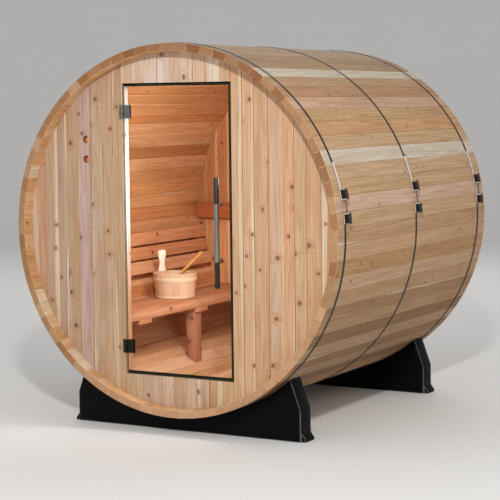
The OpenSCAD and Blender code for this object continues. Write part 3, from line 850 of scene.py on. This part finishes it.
def makeDoor():
    refinish("door_glass", glassFinish())
    # the upper hinge takes the painted reflection, the lower the painted shade
    makeHinge("Upper", "upper", hingeSteelPaintedLight)
    makeHinge("Lower", "lower", hingeSteelPaintedShade)
    makeHandle()


makeDoor()
print("door made")


tensioners = {
    "height": 0.139, "pitch": 0.110, "long": 0.050, "wide": 0.024, "high": 0.030, "plate": 0.004,
    "shadeBlockGap": 0.005, "shadeBlockSoft": 0.0015, "short": 0.005, "soft": 0.0007,
    "rod": 0.0045, "rodPast": 0.004, "rodSoft": 0.001, "rise": 0.001, "thread": 0.0015, "threadDeep": 0.0007,
    "washer": 0.0098, "washerThick": 0.0014, "washerIn": 0.0008, "washerSoft": 0.0003,
    "highlightLong": 0.132, "highlightWide": 0.016, "highlightHigh": 0.0014, "highlightSink": 0.0002, "highlightSteps": 14,
}
tensionerFinishes = [strapSteelLit, strapShadeBlack, rodSteelWoodReflection, strapSteelShaded, hoopPaintedHighlight]


def makeBracket(opening):
    # a strap folded round three sides: x away from the barrel, z along the band, open at one end
    t = tensioners
    bm = bmesh.new()
    centre = Vector((t["high"] / 2, 0, 0))
    addBlock(bm, centre, (t["high"], t["wide"], t["long"]))
    bm.normal_update()
    openSides = [f for f in bm.faces if abs(f.normal.y) > 0.9 or f.normal.z * opening > 0.9]
    bmesh.ops.delete(bm, geom=openSides, context="FACES")
    bmesh.ops.solidify(bm, geom=bm.faces[:], thickness=t["plate"])
    faceOutward(bm)
    roundEdges(bm, sharpEdges(bm, 40), t["soft"])
    bm.normal_update()
    for face in bm.faces:
        # faces inside the strap get painted black shade, the outer face painted shade, the rest painted light
        middle = face.calc_center_median()
        isInside = (centre - middle).dot(face.normal) > 0.002 and abs(face.normal.y) < 0.3
        isOuter = middle.x > t["high"] - t["plate"] * 0.9
        finish = strapShadeBlack if isInside else strapSteelShaded if isOuter else strapSteelLit
        face.material_index = tensionerFinishes.index(finish)
    # a dark block that fills the strap; its black is painted shade inside the strap
    socket = bmesh.new()
    shift = opening * (t["plate"] - t["short"]) / 2
    addBlock(socket, (t["high"] / 2, 0, shift),
             (t["high"] - 2 * t["plate"], t["wide"] - t["shadeBlockGap"], t["long"] - t["plate"] - t["short"]))
    roundEdges(socket, socket.edges, t["shadeBlockSoft"])
    setFinish(socket, tensionerFinishes.index(strapShadeBlack))
    join(bm, socket)
    return bm


def makeHighlightStrip(radius, start):
    # a painted highlight on the band above each bracket, drawn as a thin bright plate that follows the barrel
    t = tensioners
    bm = bmesh.new()
    bmesh.ops.create_grid(bm, x_segments=t["highlightSteps"], y_segments=1, size=0.5)
    for vert in bm.verts:
        angle, y = start + (vert.co.x + 0.5) * t["highlightLong"] / radius, vert.co.y * t["highlightWide"]
        vert.co = (radius * math.cos(angle), y, radius * math.sin(angle))
    for vert in pushed(bm):
        vert.co += Vector((vert.co.x, 0, vert.co.z)).normalized() * t["highlightHigh"]
    faceOutward(bm)
    setFinish(bm, tensionerFinishes.index(hoopPaintedHighlight))
    return bm


def makeRod(strapEnd):
    # a threaded rod through both straps, with a washer inside each
    t = tensioners
    half = strapEnd + t["rodPast"]
    end, root = t["rod"] - t["rodSoft"], t["rod"] - t["threadDeep"]
    rings = [(0, -half), (end, -half)]
    z = -half + t["rodSoft"]
    while z < half - t["rodSoft"]:
        rings += [(root, z), (t["rod"], z + t["thread"] / 2)]
        z += t["thread"]
    rod = turned(rings + [(end, half), (0, half)], 12)
    for side in (-1, 1):
        washer = bmesh.new()
        place = move((0, 0, side * (strapEnd - t["plate"] - t["washerIn"])))
        bmesh.ops.create_cone(washer, cap_ends=True, segments=28, radius1=t["washer"], radius2=t["washer"],
                              depth=t["washerThick"], matrix=place)
        roundEdges(washer, sharpEdges(washer), t["washerSoft"], 1)
        join(rod, washer)
    setFinish(rod, tensionerFinishes.index(rodSteelWoodReflection))
    return rod


def makeTensioners(which):
    t = tensioners
    bandLow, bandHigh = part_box("hoop_" + which)
    bandRadius = (bandHigh.x - bandLow.x) / 2
    upper = math.asin((t["height"] + t["pitch"] / 2) / bandRadius)
    lower = math.asin((t["height"] - t["pitch"] / 2) / bandRadius)
    centre = move((0, (bandLow.y + bandHigh.y) / 2, axisZ))

    def placeAt(angle, out):
        return centre @ turn(-angle, "Y") @ move((out, 0, 0))

    one = bmesh.new()
    join(one, makeBracket(1), placeAt(upper, bandRadius))
    join(one, makeBracket(-1), placeAt(lower, bandRadius))
    # the painted highlight starts at the upper bracket and runs up the band
    highlightStart = upper + t["long"] / 2 / bandRadius
    join(one, makeHighlightStrip(bandRadius - t["highlightSink"], highlightStart), centre)
    rodOut = bandRadius * math.cos((upper - lower) / 2) + t["high"] / 2 + t["rise"]
    rod = makeRod((t["pitch"] - t["long"]) / 2 + t["plate"])
    join(one, rod, placeAt((upper + lower) / 2, rodOut))
    bmesh.ops.mirror(one, geom=one.verts[:] + one.edges[:] + one.faces[:], axis="X", merge_dist=0.00001)
    faceOutward(one)
    makePiece("tensioners" + which.capitalize(), one, tensionerFinishes, cabin,
              ["tensioners_" + which])
    refinish("hoop_" + which, hoopSteel)


for which in ("front", "middle", "rear"):
    makeTensioners(which)
print("hoops made")


cradles = {"soft": 0.004, "highlightArea": 0.004}

for which in ("front", "rear"):
    cradle = softened("cradle" + which.capitalize(), "cradle_" + which, cradles["soft"],
                      [cradlePlastic, cradleEdgeHighlight], cabin, 3, 25)
    for face in cradle.data.polygons:
        # the small rounded upright corners are painted paler: a painted highlight along the edges
        across = sorted(abs(part) for part in face.normal)
        isHighlightEdge = across[1] > 0.25 and face.area < cradles["highlightArea"] and abs(face.normal.y) > 0.2
        face.material_index = 1 if isHighlightEdge else 0
print("cradles made")


bench = {"slat": 0.082, "gap": 0.008, "soft": 0.003, "wallReach": 0.005,
         "colours": ["cc9a78", "c08864", "c6926c", "bc8260"], "cleat": "c88c64", "cleatWide": 0.120,
         "cleatSoft": 0.002, "leg": "b47e64", "legTaper": 0.01536, "legSoft": 0.003}
backrest = {"slats": 3, "angle": 15, "wide": 0.070, "thick": 0.018, "gap": 0.010, "off": 0.038, "soft": 0.002,
            "colours": ["d49a70", "cc9064", "d2a078"], "support": "a8663c"}


def makeBench():
    draw = random.Random(53)
    low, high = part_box("bench_slats")
    slats = newTimber()
    right = high.x
    colours = itertools.cycle(bench["colours"])
    while right - bench["slat"] > low.x - bench["wallReach"]:
        start, end = Vector((right - bench["slat"], low.y, low.z)), Vector((right, high.y, high.z))
        addPlank(slats, start, end, longAxis, varied(tone(next(colours)), draw, 0.03), draw, bench["soft"])
        right -= bench["slat"] + bench["gap"]
    makePiece("benchSlats", slats, roomWoods, cabin, ["bench_slats"])
    low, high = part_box("bench_cleats")
    cleats = newTimber()
    reach = math.sqrt(wallRadius ** 2 - (axisZ - low.z) ** 2)
    half = bench["cleatWide"] / 2
    for y in (low.y + half, (low.y + high.y) / 2, high.y - half):
        addPlank(cleats, Vector((-reach, y - half, low.z)), Vector((high.x, y + half, high.z)), crossAxis,
                 varied(tone(bench["cleat"]), draw), draw, bench["cleatSoft"])
    makePiece("benchCleats", cleats, roomWoods, cabin, ["bench_cleats"])
    low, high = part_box("bench_leg")
    leg = newTimber()
    middle = (low + high) / 2
    addBlock(leg, middle, high - low)
    for vert in leg.verts:
        if vert.co.z < middle.z:
            # the foot tapers on its left and stands on the round of the barrel
            vert.co.x += bench["legTaper"] if vert.co.x < middle.x else 0
            vert.co.z = axisZ - math.sqrt(wallRadius ** 2 - vert.co.x ** 2)
    roundEdges(leg, leg.edges, bench["legSoft"])
    paintTimber(leg, upAxis, tone(bench["leg"]), draw)
    makePiece("benchLeg", leg, roomWoods, cabin, ["bench_leg"])


def makeBackrest():
    draw = random.Random(61)
    low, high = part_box("backrest_slats")
    b = backrest
    faceRadius = roomRadius - b["off"] - b["thick"]
    step = 2 * math.atan((b["wide"] + b["gap"]) / 2 / faceRadius)
    first = math.radians(b["angle"]) - step * (b["slats"] - 1) / 2
    slats = newTimber()
    for k in range(b["slats"]):
        place = move((0, 0, axisZ)) @ turn(-(math.pi + first + k * step), "Y")
        addPlank(slats, Vector((faceRadius, low.y, -b["wide"] / 2)),
                 Vector((faceRadius + b["thick"], high.y, b["wide"] / 2)), longAxis,
                 varied(tone(b["colours"][k]), draw, 0.03), draw, b["soft"], place)
    makePiece("backrestSlats", slats, roomWoods, cabin, ["backrest_slats"])
    blocks = copyOf("backrest_supports")
    blocks.loops.layers.uv.new("grain")
    blocks.loops.layers.float_color.new("tint")
    paintTimber(blocks, upAxis, tone(b["support"]), draw)
    makePiece("backrestSupports", blocks, roomWoods, cabin, ["backrest_supports"])


makeBench()
makeBackrest()
print("bench made")


bucket = {
    "staves": 16, "rim": 0.124, "foot": 0.107, "high": 0.140, "wall": 0.012, "gap": 0.0002, "soft": 0.0012,
    "base": 0.008, "baseLift": 0.002, "bands": [(0.094, 0.116), (0.002, 0.016)], "bandThick": 0.0022,
    "bandSoft": 0.001, "colours": ["dab692", "d6ae88", "debc9a", "d2aa84"], "band": "e6ccac",
    "grip": "fff6e2", "gripAngle": 160, "gripThick": 0.012, "gripSoft": 0.003,
    "gripShape": [(0.024, -0.012), (0.0245, 0.004), (0.020, 0.018), (0.016, 0.032), (0.0155, 0.054),
                  (0.017, 0.066), (0.022, 0.076), (0.0248, 0.085), (0.0248, 0.106), (0.022, 0.116),
                  (0.012, 0.117)],
}
# the swell is (share of the handle's radius, distance along it), from the cup end to where it thickens
ladle = {"turn": 74, "tilt": 33, "side": 0.027, "radius": 0.011, "long": 0.352, "colour": "cc9250",
         "swell": [(0.8, 0.001), (0.86, 0.02), (0.8, 0.16), (0.95, 0.26)], "knob": 0.012,
         "cup": 0.029, "cupHigh": 0.046, "cupWall": 0.005, "cupFloor": 0.006,
         "cupAlong": 0.038, "cupLift": 0.0023}
bucketLow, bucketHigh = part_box("bucket")
bucketFoot = Vector(((bucketLow.x + bucketHigh.x) / 2, (bucketLow.y + bucketHigh.y) / 2, bucketLow.z))


def bucketRadius(z):
    return bucket["foot"] + (bucket["rim"] - bucket["foot"]) * z / bucket["high"]


def bucketStave(draw):
    b = bucket
    stave = newTimber()
    bmesh.ops.create_grid(stave, x_segments=3, y_segments=1, size=0.5)
    for vert in stave.verts:
        angle = vert.co.x * 2 * (math.pi / b["staves"] - b["gap"] / b["rim"])
        z = b["high"] if vert.co.y > 0 else 0
        vert.co = (bucketRadius(z) * math.cos(angle), bucketRadius(z) * math.sin(angle), z)
    for vert in pushed(stave):
        vert.co -= Vector((vert.co.x, vert.co.y, 0)).normalized() * b["wall"]
    faceOutward(stave)
    roundEdges(stave, sharpEdges(stave, 40), b["soft"], 1)
    return paintTimber(stave, upAxis, pickTone(b["colours"], draw, 0.03, 0.02), draw)


def bucketGrip(draw):
    b = bucket
    grip = newTimber()
    outline = b["gripShape"] + [(-w, h) for w, h in reversed(b["gripShape"])]
    grip.faces.new([grip.verts.new((b["rim"] - b["gripThick"], w, b["high"] + h)) for w, h in outline])
    addDepth(grip, (b["gripThick"], 0, 0))
    rims = [e for e in grip.edges if abs(e.verts[0].co.x - e.verts[1].co.x) < 0.001]
    roundEdges(grip, rims, b["gripSoft"], 3)
    return paintTimber(grip, upAxis, tone(b["grip"]), draw)


def makeBucket(draw):
    b = bucket
    whole = newTimber()
    for k in range(b["staves"]):
        join(whole, bucketStave(draw), turn(2 * math.pi / b["staves"] * (k + 0.5), "Z"))
    floor = newTimber()
    r = bucketRadius(b["base"]) - b["wall"] * 0.5
    bmesh.ops.create_cone(floor, cap_ends=True, segments=48, radius1=r, radius2=r, depth=b["base"],
                          matrix=move((0, 0, b["base"] / 2 + b["baseLift"])))
    paintTimber(floor, crossAxis, tone(b["colours"][0]), draw)
    join(whole, floor)
    for z0, z1 in b["bands"]:
        ring = newTimber()
        soft, thick = b["bandSoft"], b["bandThick"]
        r0, r1 = bucketRadius(z0), bucketRadius(z1)
        profile = [(r0 - soft, z0), (r0 + thick * 0.8, z0), (r0 + thick, z0 + soft),
                   (r1 + thick, z1 - soft), (r1 + thick * 0.8, z1), (r1 - soft, z1), (r0 - soft, z0)]
        join(ring, turned(profile, 64))
        paintTimber(ring, upAxis, tone(b["band"]), draw)
        setFinish(ring, 0)
        join(whole, ring)
    join(whole, bucketGrip(draw), turn(math.radians(b["gripAngle"]), "Z"))
    bmesh.ops.translate(whole, vec=bucketFoot, verts=whole.verts)
    makePiece("bucket", whole, paleWoods, cabin, ["bucket"])


def makeLadle(draw):
    # the cup rests in the bucket and the handle leans on its rim
    b, d = bucket, ladle
    whole = newTimber()
    outer, inner, high, floor = d["cup"], d["cup"] - d["cupWall"], d["cupHigh"], d["cupFloor"]
    cup = [(0, 0), (outer - 0.004, 0), (outer - 0.001, 0.002), (outer, 0.006), (outer, high - 0.001),
           (outer - 0.001, high), (inner + 0.001, high), (inner, high - 0.001), (inner, floor + 0.002),
           (inner - 0.003, floor), (0, floor)]
    part = newTimber()
    join(part, turned(cup, 40))
    paintTimber(part, upAxis, tone(d["colour"]), draw)
    join(whole, part, move((-d["cupAlong"], 0, b["base"] + d["cupLift"])))
    r, knob, swellEnd = d["radius"], d["knob"], d["swell"][-1][1]
    knobStart = d["long"] - knob
    shaft = [(0, 0)] + [(r * share, z) for share, z in d["swell"]]
    shaft += [(r * (0.95 + 0.05 * k / 8), swellEnd + (knobStart - swellEnd) * k / 8) for k in range(1, 9)]
    bends = [k * math.pi / 12 for k in range(1, 6)]
    shaft += [(r * math.cos(bend), knobStart + knob * math.sin(bend)) for bend in bends] + [(0, d["long"])]
    part = newTimber()
    join(part, turned(shaft, 24))
    paintTimber(part, upAxis, tone(d["colour"]), draw)
    tilt = math.radians(d["tilt"])
    rim = math.sqrt((b["rim"] - b["wall"]) ** 2 - d["side"] ** 2)
    lift = r / math.cos(tilt) + 2 * fitGap
    start = -(rim + d["cupAlong"] + inner - 0.001) / math.cos(tilt)
    lean = turn(math.pi / 2 - tilt, "Y") @ move((0, 0, start))
    join(whole, part, move((rim, 0, b["high"] + lift)) @ lean)
    place = move(bucketFoot) @ turn(math.radians(d["turn"]), "Z") @ move((0, d["side"], 0))
    bmesh.ops.transform(whole, matrix=place, verts=whole.verts)
    makePiece("ladle", whole, paleWoods, cabin, ["ladle"])


bucketDraw = random.Random(71)
makeBucket(bucketDraw)
makeLadle(bucketDraw)
print("bucket made")


studio = {
    "camera": (4.222, -7.602, 1.619), "yaw": -29.435, "pitch": -5.127, "roll": -0.642, "lens": 117.5,
    "floor": "efeeec", "world": "f6f6f6", "worldPower": 0.5,
    "flat": 12.0, "curve": 6.0, "curveSteps": 12, "lean": 60, "lip": 3.5, "sides": 96,
}
middle = (cadBox[0] + cadBox[1]) / 2
# each light's name, place, target, power and size
lights = [
    ("keyLight", (3.4, -6.3, 4.3), middle, 295, 0.35),
    ("sideLight", (6.0, -1.5, 4.5), middle, 40, 2.5),
    ("fillLight", (-5.0, -6.0, 3.0), middle, 35, 4.0),
    ("backLight", (-3.0, 6.5, 5.0), middle, 90, 4.0),
    ("lowLight", (0.35, -0.6, axisZ - 0.55), (-0.7, 0.5, axisZ - 0.75), 2.2, 0.25),
    ("roomLight", (0.2, -0.6, axisZ + 0.5), (-0.6, 0.6, axisZ - 0.3), 11.5, 0.35),
    ("jambLight", (0.28, -0.70, axisZ + 0.35), (-0.31, -0.815, axisZ + 0.3), 2.2, 0.2),
]


def makeFloor():
    # a wide dish: flat under the object, rising all round so that no view meets an edge
    s = studio
    lean, steps = math.radians(s["lean"]), s["curveSteps"]
    bends = [lean * k / steps for k in range(steps + 1)]
    rise = [(s["flat"] + s["curve"] * math.sin(bend), s["curve"] * (1 - math.cos(bend))) for bend in bends]
    edge = (rise[-1][0] + s["lip"] * math.cos(lean), rise[-1][1] + s["lip"] * math.sin(lean))
    floor = addObject("studioFloor", turned([(0, 0)] + rise + [edge], s["sides"]))
    floor.data.shade_smooth()
    made = Finish("studioFloor", rough=0.7, gloss=0.2)
    pale = tone(s["floor"])
    colour = made.mix(made.noise(made.spot()), pale, scaled(pale, (0.98, 0.98, 0.98)))
    floor.data.materials.append(made.feed(colour=colour))


def makeLights():
    world = bpy.data.worlds.new("studioWorld")
    world.use_nodes = True
    sky = world.node_tree.nodes["Background"].inputs
    sky["Color"].default_value = tone(studio["world"])
    sky["Strength"].default_value = studio["worldPower"]
    bpy.context.scene.world = world
    for name, spot, target, power, size in lights:
        light = bpy.data.lights.new(name, "AREA")
        light.energy, light.size = power, size
        lamp = bpy.data.objects.new(name, light)
        lamp.location = spot
        lamp.rotation_euler = (Vector(target) - Vector(spot)).to_track_quat("-Z", "Y").to_euler()
        bpy.context.scene.collection.objects.link(lamp)


def makeCamera():
    s = studio
    yaw, pitch, roll = (math.radians(s[k]) for k in ("yaw", "pitch", "roll"))
    lens = bpy.data.cameras.new("camera")
    lens.lens, lens.sensor_width, lens.clip_end = s["lens"], 36, 200
    camera = bpy.data.objects.new("camera", lens)
    # yaw is to the right of straight ahead, and pitch above level
    facing = turn(-yaw, "Z") @ turn(math.pi / 2 + pitch, "X") @ turn(roll, "Z")
    camera.matrix_world = move(s["camera"]) @ facing
    bpy.context.scene.collection.objects.link(camera)
    bpy.context.scene.camera = camera


makeFloor()
makeLights()
makeCamera()
bpy.context.scene.view_settings.view_transform = "Standard"
print("studio made")
